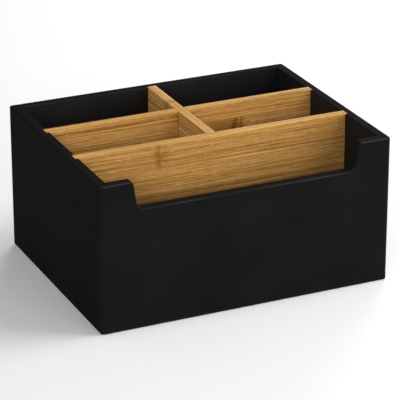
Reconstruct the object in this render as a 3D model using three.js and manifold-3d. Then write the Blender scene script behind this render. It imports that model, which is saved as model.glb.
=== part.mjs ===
// A desk organiser: an open-topped, black-painted box of thin board with a wide notch in its front,
// and three bamboo dividers that stand in grooves and make five bays.
//
// Millimetres, +Z up. The origin is the middle of the underside, +X runs to the right along the
// front and the notched front faces -Y.

import * as THREE from "three";
import { mergeVertices } from "three/addons/utils/BufferGeometryUtils.js";
import Module from "manifold-3d";

const wasm = await Module();
wasm.setup();

// The casing.
const WIDTH = 225;
const DEPTH = 175;
const HEIGHT = 111;
const WALL = 7.5;
const FLOOR = 5;
const CORNER_RADIUS = 2.5;
const RIM_ROUNDING = 1;
const BASE_ROUNDING = 1;
const GLUE_LINE = 0.1;

// The floor board sits in a rebate along the foot of each wall.
const REBATE = 4;

// The notch in the front wall. Its width is at its floor, and its sides lean outwards.
const NOTCH_WIDTH = 168;
const NOTCH_DEPTH = 21;
const NOTCH_LEAN = THREE.MathUtils.degToRad(8);
const NOTCH_FOOT_RADIUS = 7;
const NOTCH_LIP_RADIUS = 3;

// The dividers, and the grooves and slots that they stand in.
const DIVIDER = 7;
const GROOVE_DEPTH = 2.5;
const SHALLOW_GROOVE_DEPTH = 2;
const SIDE_PLAY = 0.15;
const END_PLAY = 0.3;

// Round steel pins hold the glued joints. Their heads are sunk below the painted surface.
const PIN_RADIUS = 0.6;
const PIN_BORE_RADIUS = 0.75;
const CORNER_PIN_LENGTH = 20;
const FLOOR_PIN_LENGTH = 15;
const PIN_SUNK = 1;

// How far a cutting block stands past the face that it cuts, so that the cut is clean.
const PAST = 10;

const innerWidth = WIDTH - 2 * WALL;
const innerDepth = DEPTH - 2 * WALL;
const bayDepth = (innerDepth - 2 * DIVIDER) / 3;
const dividerY = (bayDepth + DIVIDER) / 2;
const grooveWidth = DIVIDER + 2 * SIDE_PLAY;
const dividerFoot = FLOOR + GLUE_LINE;
const halfLap = (dividerFoot + HEIGHT) / 2;

const blackPaint = new THREE.MeshStandardMaterial({ color: 0x1c1b1c, roughness: 0.62, metalness: 0 });
const bamboo = new THREE.MeshStandardMaterial({ color: 0xc08b4c, roughness: 0.5, metalness: 0 });
const steel = new THREE.MeshStandardMaterial({ color: 0x9a9ca0, roughness: 0.35, metalness: 1 });

// ---- closed meshes to solids and back ----

function solidOf(geometry) {
  const bare = geometry.clone();
  bare.deleteAttribute("normal");
  bare.deleteAttribute("uv");
  const merged = mergeVertices(bare, 1e-4);
  const vertProperties = new Float32Array(merged.getAttribute("position").array);
  const triVerts = new Uint32Array(merged.index.array);
  return new wasm.Manifold(new wasm.Mesh({ numProp: 3, vertProperties, triVerts }));
}

function geometryOf(solid) {
  const { vertProperties, triVerts } = solid.getMesh();
  const geometry = new THREE.BufferGeometry();
  geometry.setAttribute("position", new THREE.BufferAttribute(vertProperties, 3));
  geometry.setIndex(new THREE.BufferAttribute(triVerts, 1));
  const flat = geometry.toNonIndexed();
  flat.computeVertexNormals();
  return flat;
}

function blockBetween(low, high) {
  const size = high.map((value, axis) => value - low[axis]);
  const middle = high.map((value, axis) => (value + low[axis]) / 2);
  return solidOf(new THREE.BoxGeometry(...size).translate(...middle));
}

// ---- the casing's outer form, with every outside edge rounded ----

function roundedRectangle(width, depth, radius) {
  const x = width / 2 - radius;
  const y = depth / 2 - radius;
  const outline = new THREE.Shape();
  outline.absarc(x, y, radius, 0, 0.5 * Math.PI);
  outline.absarc(-x, y, radius, 0.5 * Math.PI, Math.PI);
  outline.absarc(-x, -y, radius, Math.PI, 1.5 * Math.PI);
  outline.absarc(x, -y, radius, 1.5 * Math.PI, 2 * Math.PI);
  return outline;
}

function roundedBlock(rounding, bottom, top) {
  const outline = roundedRectangle(
    WIDTH - 2 * rounding,
    DEPTH - 2 * rounding,
    CORNER_RADIUS - rounding,
  );
  const geometry = new THREE.ExtrudeGeometry(outline, {
    depth: top - bottom - 2 * rounding,
    bevelThickness: rounding,
    bevelSize: rounding,
    bevelSegments: 4,
    curveSegments: 5,
  });
  return solidOf(geometry.translate(0, 0, bottom + rounding));
}

const outerForm = roundedBlock(RIM_ROUNDING, -PAST, HEIGHT).intersect(
  roundedBlock(BASE_ROUNDING, 0, HEIGHT + PAST),
);

// ---- the hidden pins ----

// Each pin is named for its place. from is the middle of its head, and along is the way it is driven.
function cornerPins() {
  const pins = [];
  for (const [end, endSign] of [["front", -1], ["back", 1]]) {
    for (const [side, sideSign] of [["left", -1], ["right", 1]]) {
      for (const [level, share] of [["lower", 0.28], ["upper", 0.72]]) {
        pins.push({
          name: `${end}_${side}_${level}_pin`,
          from: new THREE.Vector3(
            (sideSign * (WIDTH - WALL)) / 2,
            endSign * (DEPTH / 2 - PIN_SUNK),
            share * HEIGHT,
          ),
          along: new THREE.Vector3(0, -endSign, 0),
          length: CORNER_PIN_LENGTH,
        });
      }
    }
  }
  return pins;
}

function floorPins() {
  const places = [
    ["front_left", -0.3 * WIDTH, -(innerDepth + REBATE) / 2],
    ["front_right", 0.3 * WIDTH, -(innerDepth + REBATE) / 2],
    ["back_left", -0.3 * WIDTH, (innerDepth + REBATE) / 2],
    ["back_right", 0.3 * WIDTH, (innerDepth + REBATE) / 2],
    ["left_front", -(innerWidth + REBATE) / 2, -0.3 * DEPTH],
    ["left_back", -(innerWidth + REBATE) / 2, 0.3 * DEPTH],
    ["right_front", (innerWidth + REBATE) / 2, -0.3 * DEPTH],
    ["right_back", (innerWidth + REBATE) / 2, 0.3 * DEPTH],
  ];
  return places.map(([place, x, y]) => ({
    name: `floor_${place}_pin`,
    from: new THREE.Vector3(x, y, PIN_SUNK),
    along: new THREE.Vector3(0, 0, 1),
    length: FLOOR_PIN_LENGTH,
  }));
}

const pins = [...cornerPins(), ...floorPins()];

function placeAlong(object, pin) {
  object.position.copy(pin.from).addScaledVector(pin.along, pin.length / 2);
  object.quaternion.setFromUnitVectors(new THREE.Vector3(0, 1, 0), pin.along);
}

function pinBore(pin) {
  const bore = new THREE.CylinderGeometry(
    PIN_BORE_RADIUS,
    PIN_BORE_RADIUS,
    pin.length + 2 * GLUE_LINE,
    8,
  );
  const place = new THREE.Object3D();
  placeAlong(place, pin);
  place.updateMatrix();
  return solidOf(bore.applyMatrix4(place.matrix));
}

const pinBores = pins.map(pinBore).reduce((all, bore) => all.add(bore));

// ---- the casing's boards ----

// The middle of an arc that touches the notch's leaning side: across is how far the arc stands from
// the middle of the box, and clearance is its radius, negative on the notch's own side of the line.
function arcMiddle(level, clearance) {
  const side = NOTCH_WIDTH / 2 + (level - (HEIGHT - NOTCH_DEPTH)) * Math.tan(NOTCH_LEAN);
  return { across: side + clearance / Math.cos(NOTCH_LEAN), level };
}

function notchedOutline() {
  const lip = NOTCH_LIP_RADIUS;
  const foot = NOTCH_FOOT_RADIUS;
  const lipMiddle = arcMiddle(HEIGHT - lip, lip);
  const footMiddle = arcMiddle(HEIGHT - NOTCH_DEPTH + foot, -foot);
  const lean = NOTCH_LEAN;
  const outline = new THREE.Shape();
  outline.moveTo(-WIDTH / 2, 0);
  outline.lineTo(WIDTH / 2, 0);
  outline.lineTo(WIDTH / 2, HEIGHT);
  outline.absarc(lipMiddle.across, lipMiddle.level, lip, 0.5 * Math.PI, Math.PI - lean, false);
  outline.absarc(footMiddle.across, footMiddle.level, foot, -lean, -0.5 * Math.PI, true);
  outline.absarc(-footMiddle.across, footMiddle.level, foot, 1.5 * Math.PI, Math.PI + lean, true);
  outline.absarc(-lipMiddle.across, lipMiddle.level, lip, lean, 0.5 * Math.PI, false);
  outline.lineTo(-WIDTH / 2, HEIGHT);
  return outline;
}

const floorRebate = blockBetween(
  [-innerWidth / 2 - REBATE, -innerDepth / 2 - REBATE, -PAST],
  [innerWidth / 2 + REBATE, innerDepth / 2 + REBATE, FLOOR],
);

function finishBoard(board) {
  return geometryOf(board.intersect(outerForm).subtract(floorRebate).subtract(pinBores));
}

function frontPanel() {
  const board = new THREE.ExtrudeGeometry(notchedOutline(), {
    depth: WALL,
    bevelEnabled: false,
    curveSegments: 8,
  });
  board.rotateX(Math.PI / 2);
  board.translate(0, -innerDepth / 2, 0);
  return finishBoard(solidOf(board));
}

function backPanel() {
  const board = blockBetween([-WIDTH / 2, innerDepth / 2, 0], [WIDTH / 2, DEPTH / 2, HEIGHT]);
  const groove = blockBetween(
    [-grooveWidth / 2, innerDepth / 2 - PAST, FLOOR],
    [grooveWidth / 2, innerDepth / 2 + GROOVE_DEPTH, HEIGHT + PAST],
  );
  return finishBoard(board.subtract(groove));
}

// The right-hand side. The left-hand side is the same board turned half round.
function sidePanel() {
  const endOfBoard = innerDepth / 2 - GLUE_LINE;
  const board = blockBetween([innerWidth / 2, -endOfBoard, 0], [WIDTH / 2, endOfBoard, HEIGHT]);
  const grooves = [-dividerY, dividerY].map((y) =>
    blockBetween(
      [innerWidth / 2 - PAST, y - grooveWidth / 2, FLOOR],
      [innerWidth / 2 + GROOVE_DEPTH, y + grooveWidth / 2, HEIGHT + PAST],
    ),
  );
  return finishBoard(board.subtract(grooves[0]).subtract(grooves[1]));
}

function bottomPanel() {
  const x = innerWidth / 2 + REBATE - GLUE_LINE;
  const y = innerDepth / 2 + REBATE - GLUE_LINE;
  const board = blockBetween([-x, -y, 0], [x, y, FLOOR - GLUE_LINE]);
  return geometryOf(board.subtract(pinBores));
}

// ---- the dividers, each modelled about the middle of its own thickness ----

function longDivider() {
  const halfLength = innerWidth / 2 + GROOVE_DEPTH - END_PLAY;
  return blockBetween([-halfLength, -DIVIDER / 2, dividerFoot], [halfLength, DIVIDER / 2, HEIGHT]);
}

// The front divider has a shallow groove down its back for the end of the cross divider.
function frontDivider() {
  const groove = blockBetween(
    [-grooveWidth / 2, DIVIDER / 2 - SHALLOW_GROOVE_DEPTH, 0],
    [grooveWidth / 2, DIVIDER / 2 + PAST, HEIGHT + PAST],
  );
  return geometryOf(longDivider().subtract(groove));
}

// The rear divider is halved from the top, and the cross divider drops into the slot.
function rearDivider() {
  const slot = blockBetween(
    [-grooveWidth / 2, -PAST, halfLap - SIDE_PLAY],
    [grooveWidth / 2, PAST, HEIGHT + PAST],
  );
  return geometryOf(longDivider().subtract(slot));
}

// The cross divider is halved from below, so it lifts out on its own.
function crossDivider() {
  const backEnd = innerDepth / 2 + GROOVE_DEPTH - END_PLAY;
  const frontEnd = -dividerY + DIVIDER / 2 - SHALLOW_GROOVE_DEPTH + END_PLAY;
  const board = blockBetween([-DIVIDER / 2, frontEnd, dividerFoot], [DIVIDER / 2, backEnd, HEIGHT]);
  const slot = blockBetween(
    [-PAST, dividerY - grooveWidth / 2, 0],
    [PAST, dividerY + grooveWidth / 2, halfLap + SIDE_PLAY],
  );
  return geometryOf(board.subtract(slot));
}

// ---- the assembly ----

function named(name, geometry, material) {
  const mesh = new THREE.Mesh(geometry, material.clone());
  mesh.name = name;
  return mesh;
}

function casing() {
  const boards = new THREE.Group();
  const leftPanel = named("left_panel", sidePanel(), blackPaint);
  leftPanel.rotation.z = Math.PI;
  boards.add(
    named("front_panel", frontPanel(), blackPaint),
    named("back_panel", backPanel(), blackPaint),
    leftPanel,
    named("right_panel", sidePanel(), blackPaint),
    named("bottom_panel", bottomPanel(), blackPaint),
  );
  return boards;
}

function dividers() {
  const inserts = new THREE.Group();
  const front = named("front_divider", frontDivider(), bamboo);
  front.position.y = -dividerY;
  const rear = named("rear_divider", rearDivider(), bamboo);
  rear.position.y = dividerY;
  inserts.add(front, rear, named("cross_divider", crossDivider(), bamboo));
  return inserts;
}

function hiddenPins() {
  const fixings = new THREE.Group();
  for (const pin of pins) {
    const shank = new THREE.CylinderGeometry(PIN_RADIUS, PIN_RADIUS, pin.length, 8);
    const mesh = named(pin.name, shank, steel);
    placeAlong(mesh, pin);
    fixings.add(mesh);
  }
  return fixings;
}

const group = new THREE.Group();
group.add(casing(), dividers(), hiddenPins());

export default group;
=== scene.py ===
"""The looks of a small desk organiser: a black-painted box of thin board, notched at the front, with
three lift-out bamboo dividers. Everything is in metres, in the CAD model's frame: +Z up, the
underside's middle at the origin, and the notched front facing -Y."""

import math

import bmesh
import bpy
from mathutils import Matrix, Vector


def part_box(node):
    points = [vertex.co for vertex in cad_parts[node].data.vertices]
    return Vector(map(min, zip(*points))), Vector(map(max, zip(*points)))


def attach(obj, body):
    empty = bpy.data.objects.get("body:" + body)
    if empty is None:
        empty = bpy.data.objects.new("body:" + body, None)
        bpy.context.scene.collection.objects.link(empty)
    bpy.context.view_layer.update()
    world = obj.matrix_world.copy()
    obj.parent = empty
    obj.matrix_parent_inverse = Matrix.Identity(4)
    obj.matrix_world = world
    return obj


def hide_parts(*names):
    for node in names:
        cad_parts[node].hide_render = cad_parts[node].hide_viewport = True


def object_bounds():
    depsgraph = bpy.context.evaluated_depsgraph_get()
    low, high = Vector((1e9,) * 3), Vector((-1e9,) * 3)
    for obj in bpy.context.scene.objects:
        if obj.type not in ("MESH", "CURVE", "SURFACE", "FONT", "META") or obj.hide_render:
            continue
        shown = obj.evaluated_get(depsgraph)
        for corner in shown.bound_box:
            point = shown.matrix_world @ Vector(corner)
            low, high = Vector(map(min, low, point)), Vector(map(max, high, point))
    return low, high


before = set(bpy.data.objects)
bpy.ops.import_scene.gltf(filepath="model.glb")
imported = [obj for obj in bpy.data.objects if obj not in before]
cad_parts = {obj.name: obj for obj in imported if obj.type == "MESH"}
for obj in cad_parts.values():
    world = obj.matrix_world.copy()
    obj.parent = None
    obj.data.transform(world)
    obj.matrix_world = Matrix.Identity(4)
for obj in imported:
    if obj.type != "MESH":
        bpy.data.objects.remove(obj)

MM = 0.001
cad_low, cad_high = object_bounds()

# ---- sizes, from the CAD model wherever its boxes give them ----

HALF_WIDTH = cad_high.x
HALF_DEPTH = cad_high.y
HEIGHT = cad_high.z
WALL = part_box("front_panel")[1].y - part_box("front_panel")[0].y
INNER_X = HALF_WIDTH - WALL
INNER_Y = HALF_DEPTH - WALL
FLOOR_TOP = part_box("bottom_panel")[1].z
GLUE_LINE = 0.1 * MM
REBATE_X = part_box("bottom_panel")[1].x + GLUE_LINE
REBATE_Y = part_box("bottom_panel")[1].y + GLUE_LINE

CORNER_RADIUS = 2.5 * MM
OUTER_ROUNDING = 1.1 * MM
INNER_ROUNDING = 0.5 * MM
BAMBOO_ROUNDING = 0.5 * MM

# The notch: its half width is at its floor, and its sides lean outwards.
NOTCH_HALF_WIDTH = 84 * MM
NOTCH_FLOOR = HEIGHT - 21 * MM
NOTCH_LEAN = 8
NOTCH_FOOT_RADIUS = 7 * MM
NOTCH_LIP_RADIUS = 3 * MM

SEAM_INSET = 0.05 * MM
GROOVE_DEPTH = 2.5 * MM
SHALLOW_GROOVE_DEPTH = 2 * MM
SIDE_PLAY = 0.15 * MM
BORE_PLAY = 0.1 * MM

# How far a cutting solid stands past the face that it cuts.
PAST = 20 * MM
SHARP_ANGLE = math.radians(30)
SMOOTH_ANGLE = math.radians(40)
FLAT_ANGLE = math.radians(0.2)

# Material numbers: the first is what a rounding gets while it is made, and the others are the
# finished casing's outer and inner paint.
ROUNDED = 1
OUTSIDE = 0
INSIDE = 1


# ---- mesh tools ----

def arc(centre, radius, start, end, steps):
    """Points along an arc with both ends, its angles in degrees."""
    angles = [math.radians(start + (end - start) * i / steps) for i in range(steps + 1)]
    return [(centre[0] + radius * math.cos(a), centre[1] + radius * math.sin(a)) for a in angles]


def circle(centre, radius, sides=24):
    """A ring of points, without the first one again at its end."""
    return arc(centre, radius, 0, 360 - 360 / sides, sides - 1)


def rounded_rectangle(half_x, half_y, radius, steps=8):
    x, y = half_x - radius, half_y - radius
    return (
        arc((x, y), radius, 0, 90, steps)
        + arc((-x, y), radius, 90, 180, steps)
        + arc((-x, -y), radius, 180, 270, steps)
        + arc((x, -y), radius, 270, 360, steps)
    )


def rectangle(low_x, high_x, low_y, high_y):
    return [(low_x, low_y), (high_x, low_y), (high_x, high_y), (low_x, high_y)]


def prism(name, outline, low, high, axis="Z"):
    """A closed solid: an outline pulled from low to high along an axis. Along Z the outline is
    given as (x, y), and along Y as (x, z)."""
    def place(point, level):
        if axis == "Z":
            return (point[0], point[1], level)
        return (point[0], level, point[1])

    mesh = bpy.data.meshes.new(name)
    solid = bmesh.new()
    bottom = [solid.verts.new(place(point, low)) for point in outline]
    top = [solid.verts.new(place(point, high)) for point in outline]
    solid.faces.new(bottom)
    solid.faces.new(top)
    for i in range(len(outline)):
        j = (i + 1) % len(outline)
        solid.faces.new((bottom[i], bottom[j], top[j], top[i]))
    bmesh.ops.recalc_face_normals(solid, faces=solid.faces)
    solid.to_mesh(mesh)
    solid.free()
    piece = bpy.data.objects.new(name, mesh)
    bpy.context.scene.collection.objects.link(piece)
    return piece


def block(name, low, high):
    return prism(name, rectangle(low[0], high[0], low[1], high[1]), low[2], high[2])


def apply_modifiers(piece):
    graph = bpy.context.evaluated_depsgraph_get()
    mesh = bpy.data.meshes.new_from_object(piece.evaluated_get(graph))
    mesh.name = piece.name
    piece.modifiers.clear()
    piece.data = mesh


def remove(piece):
    bpy.data.objects.remove(piece, do_unlink=True)


def combine(piece, other, operation):
    """Cuts or joins piece by other, and uses other up."""
    step = piece.modifiers.new("combine", "BOOLEAN")
    step.operation = operation
    step.solver = "EXACT"
    step.object = other
    apply_modifiers(piece)
    remove(other)


def cut_off(piece, direction, distance):
    """Takes away what lies further than distance along direction, and closes the cut."""
    normal = Vector(direction)
    solid = bmesh.new()
    solid.from_mesh(piece.data)
    bmesh.ops.bisect_plane(
        solid,
        geom=solid.verts[:] + solid.edges[:] + solid.faces[:],
        plane_co=normal * distance,
        plane_no=normal,
        clear_outer=True,
    )
    rims = [edge for edge in solid.edges if edge.is_boundary]
    bmesh.ops.edgeloop_fill(solid, edges=rims)
    bmesh.ops.recalc_face_normals(solid, faces=solid.faces)
    solid.to_mesh(piece.data)
    solid.free()


def merge_flat_faces(piece):
    """Joins faces that lie in one plane, so that each rounding runs unbroken along its edge."""
    solid = bmesh.new()
    solid.from_mesh(piece.data)
    bmesh.ops.remove_doubles(solid, verts=solid.verts, dist=0.002 * MM)
    bmesh.ops.dissolve_limit(
        solid,
        angle_limit=FLAT_ANGLE,
        verts=solid.verts,
        edges=solid.edges,
    )
    solid.to_mesh(piece.data)
    solid.free()


def round_edges(piece, radius_at, widest, segments):
    """Rounds each outward edge by the radius that radius_at gives for the middle of the edge."""
    merge_flat_faces(piece)
    solid = bmesh.new()
    solid.from_mesh(piece.data)
    weight = solid.edges.layers.float.new("bevel_weight_edge")
    for edge in solid.edges:
        if edge.is_convex and edge.calc_face_angle(0) > SHARP_ANGLE:
            middle = (edge.verts[0].co + edge.verts[1].co) / 2
            edge[weight] = radius_at(middle) / widest
    solid.to_mesh(piece.data)
    solid.free()
    step = piece.modifiers.new("rounding", "BEVEL")
    step.limit_method = "WEIGHT"
    step.width = widest
    step.segments = segments
    step.use_clamp_overlap = False
    step.material = ROUNDED
    apply_modifiers(piece)


def mark_points(piece, attribute, belongs):
    """Gives each point 1 where every face round it belongs, and 0 elsewhere."""
    inside = [1.0] * len(piece.data.vertices)
    for face in piece.data.polygons:
        if not belongs(face):
            for corner in face.vertices:
                inside[corner] = 0.0
    layer = piece.data.attributes.new(attribute, "FLOAT", "POINT")
    layer.data.foreach_set("value", inside)


def finish_surface(piece):
    """Smooth over the roundings, and flat where the faces are flat."""
    piece.data.polygons.foreach_set("use_smooth", [True] * len(piece.data.polygons))
    piece.data.set_sharp_from_angle(angle=SMOOTH_ANGLE)
    step = piece.modifiers.new("even_shading", "WEIGHTED_NORMAL")
    step.keep_sharp = True


# ---- the pins' bores ----

PIN_NAMES = sorted(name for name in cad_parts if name.endswith("_pin"))


def bore_for(pin_name):
    """A round cutter a little larger than a pin, along the pin's own length."""
    low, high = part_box(pin_name)
    centre = (low + high) / 2
    size = high - low
    radius = size.x / 2 + BORE_PLAY
    if size.z > size.y:
        outline = circle((centre.x, centre.y), radius)
        return prism("bore", outline, low.z - BORE_PLAY, high.z + BORE_PLAY)
    outline = circle((centre.x, centre.z), radius)
    return prism("bore", outline, low.y - BORE_PLAY, high.y + BORE_PLAY, axis="Y")


def boxes_meet(piece, other):
    def span(solid):
        corners = [Vector(corner) for corner in solid.bound_box]
        return [(min(c[k] for c in corners), max(c[k] for c in corners)) for k in range(3)]

    return all(a[0] < b[1] and b[0] < a[1] for a, b in zip(span(piece), span(other)))


def bore_out(piece):
    for name in PIN_NAMES:
        bore = bore_for(name)
        if boxes_meet(piece, bore):
            combine(piece, bore, "DIFFERENCE")
        else:
            remove(bore)


# ---- the casing ----

def notch_arc_middle(level, clearance):
    """How far from the box's middle the centre of an arc stands that touches the leaning side of
    the notch: clearance is the arc's radius, negative on the notch's own side of that line."""
    lean = math.radians(NOTCH_LEAN)
    side = NOTCH_HALF_WIDTH + (level - NOTCH_FLOOR) * math.tan(lean)
    return side + clearance / math.cos(lean)


def notch_outline():
    """The notch seen from the front as (x, z), with lips that curve out over the rim."""
    foot, foot_level = NOTCH_FOOT_RADIUS, NOTCH_FLOOR + NOTCH_FOOT_RADIUS
    lip, lip_level = NOTCH_LIP_RADIUS, HEIGHT - NOTCH_LIP_RADIUS
    foot_x = notch_arc_middle(foot_level, -foot)
    lip_x = notch_arc_middle(lip_level, lip)
    right = (
        arc((foot_x, foot_level), foot, 270, 360 - NOTCH_LEAN, 10)
        + arc((lip_x, lip_level), lip, 180 - NOTCH_LEAN, 90, 8)
        + [(lip_x, HEIGHT + PAST)]
    )
    return right + [(-x, z) for x, z in reversed(right)]


def casing_shell():
    """The four walls as one solid, so that every rounding runs true round the corners."""
    shell = prism(
        "shell", rounded_rectangle(HALF_WIDTH, HALF_DEPTH, CORNER_RADIUS), 0, HEIGHT
    )
    cavity = block(
        "cavity", (-INNER_X, -INNER_Y, -PAST), (INNER_X, INNER_Y, HEIGHT + PAST)
    )
    combine(shell, cavity, "DIFFERENCE")
    notch = prism("notch", notch_outline(), -HALF_DEPTH - PAST, -INNER_Y + PAST, axis="Y")
    combine(shell, notch, "DIFFERENCE")
    for groove in wall_grooves():
        combine(shell, groove, "DIFFERENCE")
    add_marking_materials(shell)
    return shell


def add_marking_materials(shell):
    """Two materials for the time of the rounding, because the bevel marks its new faces with
    the second one only where a piece has two."""
    for name in ("plain", "rounded"):
        shell.data.materials.append(bpy.data.materials.new(name + "_marker"))


def wall_grooves():
    """Cutters for the grooves that hold the dividers' ends, open at the rim."""
    grooves = []
    for name in ("front_divider", "rear_divider"):
        low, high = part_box(name)
        reach = INNER_X + GROOVE_DEPTH
        grooves.append(
            block(
                "groove",
                (-reach, low.y - SIDE_PLAY, -PAST),
                (reach, high.y + SIDE_PLAY, HEIGHT + PAST),
            )
        )
    low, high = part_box("cross_divider")
    grooves.append(
        block(
            "groove",
            (low.x - SIDE_PLAY, 0, -PAST),
            (high.x + SIDE_PLAY, INNER_Y + GROOVE_DEPTH, HEIGHT + PAST),
        )
    )
    return grooves


def casing_radius_at(point):
    """The rounding of the casing's edge whose middle is at this point. Edges that run on into
    one another share one radius."""
    outside = (
        abs(point.x) > HALF_WIDTH - CORNER_RADIUS or abs(point.y) > HALF_DEPTH - CORNER_RADIUS
    )
    return OUTER_ROUNDING if outside else INNER_ROUNDING


def is_worn_or_highlit(face):
    """True of the roundings and upright corners that get a lighter paint colour, partly wear and
    partly painted highlight: all but those that look left, away from the light."""
    across = face.normal.x
    upright_corner = min(abs(across), abs(face.normal.y)) > 0.1
    return across > -0.3 and (face.material_index == ROUNDED or upright_corner)


def faces_inwards(face):
    """True of the walls' inner faces and of their grooves."""
    across = abs(face.center.x) < INNER_X + GROOVE_DEPTH + SEAM_INSET
    along = abs(face.center.y) < INNER_Y + GROOVE_DEPTH + SEAM_INSET
    return across and along and abs(face.normal.z) < 0.1 and not on_notch(face)


def on_notch(face):
    return face.center.y < -INNER_Y - SEAM_INSET


def casing_pieces():
    """The shell, rounded, then parted along its butt joints into the four wall boards."""
    shell = casing_shell()
    round_edges(shell, casing_radius_at, OUTER_ROUNDING, segments=5)
    mark_points(shell, "wear_and_highlight", is_worn_or_highlit)
    shell.data.materials.clear()
    rebate = block(
        "rebate",
        (-REBATE_X, -REBATE_Y, -PAST),
        (REBATE_X, REBATE_Y, FLOOR_TOP + GLUE_LINE),
    )
    combine(shell, rebate, "DIFFERENCE")
    for face in shell.data.polygons:
        face.material_index = INSIDE if faces_inwards(face) else OUTSIDE
    seam = INNER_Y - SEAM_INSET
    front, back, left, right = (0, -1, 0), (0, 1, 0), (-1, 0, 0), (1, 0, 0)
    cuts = {
        "front_panel": [(back, -seam)],
        "back_panel": [(front, -seam)],
        "left_panel": [(right, 0), (front, seam), (back, seam)],
        "right_panel": [(left, 0), (front, seam), (back, seam)],
    }
    boards = {}
    for name, planes in cuts.items():
        board = bpy.data.objects.new("painted_" + name, shell.data.copy())
        bpy.context.scene.collection.objects.link(board)
        for direction, distance in planes:
            cut_off(board, direction, distance)
        bore_out(board)
        boards[name] = board
    remove(shell)
    return boards


def floor_board():
    low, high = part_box("bottom_panel")
    board = block("painted_bottom_panel", low, high)
    round_edges(board, lambda point: INNER_ROUNDING, INNER_ROUNDING, segments=3)
    bore_out(board)
    return board


# ---- the dividers ----

def half_lap_height():
    low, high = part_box("rear_divider")
    return (low.z + high.z) / 2


def divider_board(name):
    low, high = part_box(name)
    board = block("bamboo_" + name, low, high)
    return board, low, high


def front_divider():
    board, low, high = divider_board("front_divider")
    cross_low, cross_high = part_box("cross_divider")
    groove = block(
        "groove",
        (cross_low.x - SIDE_PLAY, high.y - SHALLOW_GROOVE_DEPTH, low.z - PAST),
        (cross_high.x + SIDE_PLAY, high.y + PAST, high.z + PAST),
    )
    combine(board, groove, "DIFFERENCE")
    return board


def rear_divider():
    board, low, high = divider_board("rear_divider")
    cross_low, cross_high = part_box("cross_divider")
    slot = block(
        "slot",
        (cross_low.x - SIDE_PLAY, low.y - PAST, half_lap_height() - SIDE_PLAY),
        (cross_high.x + SIDE_PLAY, high.y + PAST, high.z + PAST),
    )
    combine(board, slot, "DIFFERENCE")
    return board


def cross_divider():
    board, low, high = divider_board("cross_divider")
    rear_low, rear_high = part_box("rear_divider")
    slot = block(
        "slot",
        (low.x - PAST, rear_low.y - SIDE_PLAY, low.z - PAST),
        (high.x + PAST, rear_high.y + SIDE_PLAY, half_lap_height() + SIDE_PLAY),
    )
    combine(board, slot, "DIFFERENCE")
    return board


def divider_pieces():
    boards = {
        "front_divider": front_divider(),
        "rear_divider": rear_divider(),
        "cross_divider": cross_divider(),
    }
    for board in boards.values():
        round_edges(board, lambda point: BAMBOO_ROUNDING, BAMBOO_ROUNDING, segments=3)
    return boards


# ---- materials ----

# Where a Mix node that is set to colours has its sockets.
MIX_FACTOR = 0
MIX_COLOUR_A = 6
MIX_COLOUR_B = 7
MIX_COLOUR_RESULT = 2


class Shader:
    """A material's nodes, with one short call for each kind that is used here."""

    def __init__(self, name):
        self.material = bpy.data.materials.new(name)
        self.material.use_nodes = True
        self.nodes = self.material.node_tree.nodes
        self.links = self.material.node_tree.links
        self.nodes.clear()

    def add(self, kind, inputs, **settings):
        node = self.nodes.new(kind)
        for key, value in settings.items():
            setattr(node, key, value)
        for key, value in inputs.items():
            self.set(node.inputs[key], value)
        return node

    def set(self, socket, value):
        if isinstance(value, bpy.types.NodeSocket):
            self.links.new(value, socket)
        else:
            socket.default_value = value

    def math(self, operation, a, b=0.0):
        return self.add("ShaderNodeMath", {0: a, 1: b}, operation=operation).outputs[0]

    def attribute(self, name):
        return self.add("ShaderNodeAttribute", {}, attribute_name=name).outputs["Fac"]

    def noise(self, vector, scale, detail=2.0, roughness=0.5):
        """Noise that has about as many waves in each unit of the vector as its scale says."""
        inputs = {"Vector": vector, "Scale": scale, "Detail": detail, "Roughness": roughness}
        return self.add("ShaderNodeTexNoise", inputs).outputs["Fac"]

    def remap(self, value, low, high, to_low=0.0, to_high=1.0):
        inputs = {0: value, 1: low, 2: high, 3: to_low, 4: to_high}
        return self.add("ShaderNodeMapRange", inputs, interpolation_type="SMOOTHSTEP").outputs[0]

    def mix(self, factor, a, b):
        """Colour a where the factor is 0, and colour b where it is 1."""
        inputs = {MIX_FACTOR: factor, MIX_COLOUR_A: a, MIX_COLOUR_B: b}
        return self.add("ShaderNodeMix", inputs, data_type="RGBA").outputs[MIX_COLOUR_RESULT]

    def point(self):
        """The point on the piece, as one vector."""
        return self.add("ShaderNodeTexCoord", {}).outputs["Object"]

    def coordinates(self):
        """The point on the piece, as its x, y and z."""
        parts = self.add("ShaderNodeSeparateXYZ", {0: self.point()}).outputs
        return parts[0], parts[1], parts[2]

    def vector(self, x, y, z):
        return self.add("ShaderNodeCombineXYZ", {0: x, 1: y, 2: z}).outputs[0]

    def stretched(self, x, y, z, length_x, length_y, length_z):
        """The vector whose parts are x, y and z, each divided by its own length."""
        parts = [
            self.math("DIVIDE", value, length)
            for value, length in ((x, length_x), (y, length_y), (z, length_z))
        ]
        return self.vector(*parts)

    def blend_of(self, *shares):
        """The sum of several values, each times its share."""
        total = 0.0
        for value, share in shares:
            total = self.math("ADD", total, self.math("MULTIPLY", value, share))
        return total

    def ramp(self, value, *stops):
        node = self.add("ShaderNodeValToRGB", {0: value})
        elements = node.color_ramp.elements
        while len(elements) < len(stops):
            elements.new(0.5)
        for element, (position, tint) in zip(elements, stops):
            element.position = position
            element.color = tint
        return node.outputs[0]

    def bump(self, height, distance):
        inputs = {"Height": height, "Distance": distance}
        return self.add("ShaderNodeBump", inputs).outputs[0]

    def finish(self, **inputs):
        surface = self.nodes.new("ShaderNodeBsdfPrincipled")
        for key, value in inputs.items():
            self.set(surface.inputs[key.replace("_", " ")], value)
        output = self.nodes.new("ShaderNodeOutputMaterial")
        self.links.new(surface.outputs[0], output.inputs[0])
        return self.material


def colour(red, green, blue):
    return (red, green, blue, 1.0)


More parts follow.
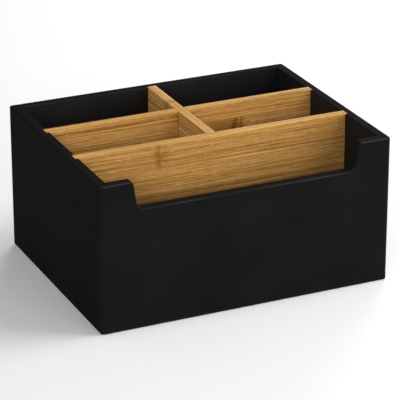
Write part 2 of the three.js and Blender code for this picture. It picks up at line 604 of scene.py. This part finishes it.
def paint_material(name, gloss):
    """Matt black paint on board: a fine orange peel, faint clouding, and arrises painted lighter,
    partly as wear and partly as painted highlight where light catches them."""
    shader = Shader(name)
    point = shader.point()
    cloud = shader.noise(point, 22, 3)
    grit = shader.noise(point, 2600, 2)
    tone = shader.blend_of((cloud, 0.6), (grit, 0.4))
    base = shader.mix(
        shader.remap(tone, 0.35, 0.65),
        colour(0.0078, 0.0074, 0.0074),
        colour(0.0102, 0.0097, 0.0096),
    )
    # Painted highlight and wear: the marked arrises and upright corners take a lighter colour, in
    # patches, standing partly for handling wear and partly for light catching the edges.
    patches = shader.noise(point, 26, 2)
    scuffs = shader.noise(point, 400, 2)
    patchy_wear_and_sheen = shader.remap(shader.blend_of((patches, 0.6), (scuffs, 0.4)), 0.38, 0.60, 0.25, 1.0)
    painted_highlight_and_wear = shader.math("MULTIPLY", shader.attribute("wear_and_highlight"), patchy_wear_and_sheen)
    base = shader.mix(painted_highlight_and_wear, base, colour(0.028, 0.0265, 0.025))
    peel = shader.noise(point, 1400, 3)
    swell = shader.noise(point, 180, 2)
    height = shader.blend_of((peel, 0.6), (swell, 0.4))
    return shader.finish(
        Base_Color=base,
        Roughness=shader.remap(cloud, 0.3, 0.7, 0.46, 0.56),
        Normal=shader.bump(height, 0.008 * MM),
        Specular_IOR_Level=gloss,
    )


STRIP = 18.5 * MM


def bamboo_material(name, along, seed, first_strip, paleness, sanding, knuckle):
    """Bamboo laminated from flat strips that run along X or Y, the topmost one first_strip deep.
    Paleness lightens the whole board, and sanding is how much paler its top edge is. The knuckle
    has a place along the fibres, a depth below the top edge, the colour of its flecks, the strength
    of its stain, and the strength of the second column of flecks."""
    shader = Shader(name)
    x, y, z = shader.coordinates()
    grain, through = (x, y) if along == "X" else (y, x)
    depth = shader.math("SUBTRACT", HEIGHT, z)
    strips_down = shader.math("DIVIDE", shader.math("SUBTRACT", depth, first_strip - STRIP), STRIP)
    strip = shader.math("FLOOR", strips_down)
    strip_seed = shader.math("ADD", shader.math("MULTIPLY", strip, 7.3), seed)
    sway = shader.noise(shader.stretched(grain, strip_seed, z, 150 * MM, 1, 60 * MM), 1, 1)
    height = shader.math("ADD", z, shader.math("MULTIPLY", sway, 1 * MM))

    def streaks(length, pitch, detail=2.0):
        layer = shader.math("ADD", shader.math("DIVIDE", through, 2.5 * pitch), strip_seed)
        across = shader.stretched(grain, layer, height, length, 1, pitch)
        return shader.noise(across, 1, detail, 0.6)

    broad = streaks(260 * MM, 5 * MM)
    lines = streaks(170 * MM, 1.1 * MM, 1)
    fibres = streaks(55 * MM, 0.55 * MM, 1)
    dashes = streaks(9 * MM, 0.6 * MM, 1)
    strip_tone = shader.noise(shader.vector(strip_seed, 0.31, 0.77), 3, 0)
    tone = shader.blend_of(
        (broad, 0.05), (lines, 0.50), (fibres, 0.36), (strip_tone, 0.09), (1.0, paleness)
    )
    base = shader.ramp(
        tone,
        (0.37, colour(0.235, 0.103, 0.022)),
        (0.457, colour(0.42, 0.205, 0.050)),
        (0.543, colour(0.55, 0.295, 0.080)),
        (0.63, colour(0.69, 0.41, 0.135)),
    )
    flush = shader.remap(streaks(90 * MM, 8 * MM), 0.5, 0.72, 0, 0.28)
    base = shader.mix(flush, base, colour(0.47, 0.21, 0.08))
    base = shader.mix(shader.remap(dashes, 0.56, 0.68, 0, 0.5), base, colour(0.26, 0.115, 0.026))
    vessels = shader.remap(streaks(90 * MM, 0.9 * MM, 1), 0.52, 0.61, 0, 0.48)
    base = shader.mix(vessels, base, colour(0.30, 0.125, 0.026))
    # Painted glints: short pale dashes in the base colour, standing in for light that catches the
    # fibres.
    painted_glints = shader.remap(streaks(5 * MM, 0.5 * MM, 1), 0.58, 0.68, 0, 0.4)
    base = shader.mix(painted_glints, base, colour(0.72, 0.44, 0.16))
    edge = shader.math("PINGPONG", strips_down, 0.5)
    glue_share = GLUE_LINE / STRIP
    seam = shader.remap(edge, 0.5 * glue_share, 2.5 * glue_share, 0.12, 0)
    base = shader.mix(seam, base, colour(0.20, 0.085, 0.024))
    sanded = shader.remap(depth, 1.0 * MM, 0.3 * MM, 0, sanding)
    base = shader.mix(sanded, base, colour(0.76, 0.46, 0.125))
    marks = knuckle_marks(shader, grain, z, depth, knuckle)
    base = shader.mix(marks["stain"], base, colour(0.24, 0.095, 0.018))
    base = shader.mix(marks["pale"], base, colour(0.64, 0.34, 0.13))
    base = shader.mix(marks["flecks"], base, knuckle["flecks"])
    relief = shader.blend_of((fibres, 0.6), (lines, 0.4))
    return shader.finish(
        Base_Color=base,
        Roughness=shader.remap(fibres, 0.3, 0.7, 0.50, 0.62),
        Normal=shader.bump(relief, 0.08 * MM),
        Specular_IOR_Level=0.03,
    )


def knuckle_marks(shader, grain, z, depth, knuckle):
    """Where a strip was cut through one of the cane's joints: a ragged column of dark flecks
    across the strip's width and a second one beside it, short dashes on their right that die out
    away from the strip's middle, then a pale patch, and a stain that fades to their left."""
    place = knuckle["place"]
    wander = shader.noise(shader.vector(place * 90, 0, shader.math("DIVIDE", z, 3 * MM)), 1, 3)
    drift = shader.math("MULTIPLY", shader.math("SUBTRACT", wander, 0.5), 9 * MM)
    offset = shader.math("ADD", shader.math("SUBTRACT", grain, place), drift)
    specks = shader.noise(shader.stretched(grain, place * 70, z, 1.3 * MM, 1, 0.8 * MM), 1, 2)
    dashes = shader.noise(shader.stretched(grain, place * 50, z, 3.5 * MM, 1, 0.7 * MM), 1, 2)
    from_middle = shader.math("ABSOLUTE", shader.math("SUBTRACT", depth, knuckle["below_top"]))

    def near(centre, inner, outer):
        distance = shader.math("ABSOLUTE", shader.math("SUBTRACT", offset, centre))
        return shader.remap(distance, outer, inner)

    def both(a, b):
        return shader.math("MULTIPLY", a, b)

    second_column = both(near(5.5 * MM, 0, 2.2 * MM), knuckle["second_column"])
    columns = shader.math("MAXIMUM", near(0, 0.8 * MM, 2.8 * MM), second_column)
    columns = both(columns, shader.remap(specks, 0.38, 0.56, 0.1, 1.0))
    strays = both(near(4 * MM, 4 * MM, 11 * MM), shader.remap(dashes, 0.48, 0.56))
    strays = both(strays, shader.remap(from_middle, 0.4 * STRIP, 0.05 * STRIP))
    pale = both(near(9 * MM, 0, 6 * MM), shader.remap(dashes, 0.56, 0.42, 0, 0.5))
    marks = {
        "flecks": shader.math("MAXIMUM", columns, strays),
        "pale": pale,
        "stain": both(near(-6 * MM, 4 * MM, 22 * MM), knuckle["stain"]),
    }
    on_strip = shader.remap(from_middle, 0.52 * STRIP, 0.36 * STRIP)
    return {name: both(mark, on_strip) for name, mark in marks.items()}


def steel_material():
    """Drawn wire: fine lines along the shank and a dull bloom."""
    shader = Shader("steel_pin")
    lines = shader.noise(shader.point(), 3000, 2)
    base = shader.mix(lines, colour(0.36, 0.36, 0.37), colour(0.58, 0.58, 0.6))
    return shader.finish(
        Base_Color=base,
        Metallic=1.0,
        Roughness=shader.remap(lines, 0.3, 0.7, 0.28, 0.42),
        Normal=shader.bump(lines, 0.01 * MM),
    )


def floor_material():
    shader = Shader("studio_floor")
    mottle = shader.noise(shader.point(), 6, 3)
    base = shader.mix(mottle, colour(0.90, 0.90, 0.90), colour(0.92, 0.92, 0.92))
    return shader.finish(Base_Color=base, Roughness=0.8, Specular_IOR_Level=0.1)


# ---- studio ----

def make_camera():
    azimuth = math.radians(-24.65)
    elevation = math.radians(22.82)
    back = Vector((
        math.sin(azimuth) * math.cos(elevation),
        -math.cos(azimuth) * math.cos(elevation),
        math.sin(elevation),
    ))
    data = bpy.data.cameras.new("camera")
    data.sensor_width = 36
    data.lens = 208
    data.clip_end = 50
    camera = bpy.data.objects.new("camera", data)
    camera.location = (-0.6514, -1.4254, 0.7084)
    camera.rotation_mode = "QUATERNION"
    camera.rotation_quaternion = (-back).to_track_quat("-Z", "Y")
    bpy.context.scene.collection.objects.link(camera)
    bpy.context.scene.camera = camera


AIM = Vector((0, 0, HEIGHT / 2))


def softbox(name, location, size, power):
    data = bpy.data.lights.new(name, "AREA")
    data.shape = "RECTANGLE"
    data.size, data.size_y = size
    data.energy = power
    lamp = bpy.data.objects.new(name, data)
    lamp.location = location
    lamp.rotation_mode = "QUATERNION"
    lamp.rotation_quaternion = (AIM - Vector(location)).to_track_quat("-Z", "Y")
    bpy.context.scene.collection.objects.link(lamp)


def make_studio():
    reach = 6.0
    thickness = 20 * MM
    gap_under_box = 0.2 * MM
    floor = block("floor", (-reach, -reach, -thickness), (reach, reach, -gap_under_box))
    floor.data.materials.append(floor_material())
    softbox("front_left_light", (-1.2, -1.9, 1.0), (1.2, 0.8), 17)
    softbox("left_light", (-1.8, -0.4, 0.9), (1.0, 0.8), 9)
    softbox("front_light", (0.4, -1.9, 0.6), (1.2, 0.8), 10)
    softbox("low_right_light", (1.0, -0.9, 0.35), (0.5, 0.5), 4)
    softbox("top_right_light", (0.9, -0.3, 1.2), (0.8, 0.8), 13)
    softbox("back_right_light", (1.2, 1.6, 0.9), (1.0, 0.5), 22)
    world = bpy.data.worlds.new("studio")
    world.use_nodes = True
    background = world.node_tree.nodes["Background"]
    background.inputs["Color"].default_value = colour(1, 1, 1)
    background.inputs["Strength"].default_value = 0.27
    scene = bpy.context.scene
    scene.world = world
    scene.view_settings.view_transform = "Standard"
    scene.cycles.use_denoising = True


# ---- the model ----

def dress(piece, materials, node, body):
    for material in materials:
        piece.data.materials.append(material)
    finish_surface(piece)
    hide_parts(node)
    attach(piece, body)


make_camera()
make_studio()

paints = [paint_material("black_paint", 0.001), paint_material("black_paint_inside", 0.12)]
boards = casing_pieces()
boards["bottom_panel"] = floor_board()
for node, board in boards.items():
    dress(board, paints, node, "casing")

front_knuckle = {
    "place": -44 * MM,
    "below_top": 9 * MM,
    "flecks": colour(0.25, 0.103, 0.014),
    "stain": 0.1,
    "second_column": 0.2,
}
rear_knuckle = {
    "place": 42 * MM,
    "below_top": 21 * MM,
    "flecks": colour(0.125, 0.05, 0.004),
    "stain": 0.6,
    "second_column": 1.0,
}
cross_knuckle = {
    "place": 44 * MM,
    "below_top": 6 * MM,
    "flecks": colour(0.30, 0.135, 0.03),
    "stain": 0.2,
    "second_column": 0.5,
}
bamboo = {
    "front_divider": bamboo_material(
        "bamboo_front", "X", 6.2, STRIP, -0.007, 0.25, front_knuckle
    ),
    "rear_divider": bamboo_material(
        "bamboo_rear", "X", 5.9, 11.5 * MM, 0.01, 0.1, rear_knuckle
    ),
    "cross_divider": bamboo_material(
        "bamboo_cross", "Y", 5.1, 14 * MM, 0.03, 0.15, cross_knuckle
    ),
}
bodies = {
    "front_divider": "front_insert",
    "rear_divider": "rear_insert",
    "cross_divider": "cross_insert",
}
for node, board in divider_pieces().items():
    dress(board, [bamboo[node]], node, bodies[node])

steel = steel_material()
for name in PIN_NAMES:
    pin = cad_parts[name]
    pin.material_slots[0].link = "OBJECT"
    pin.material_slots[0].material = steel
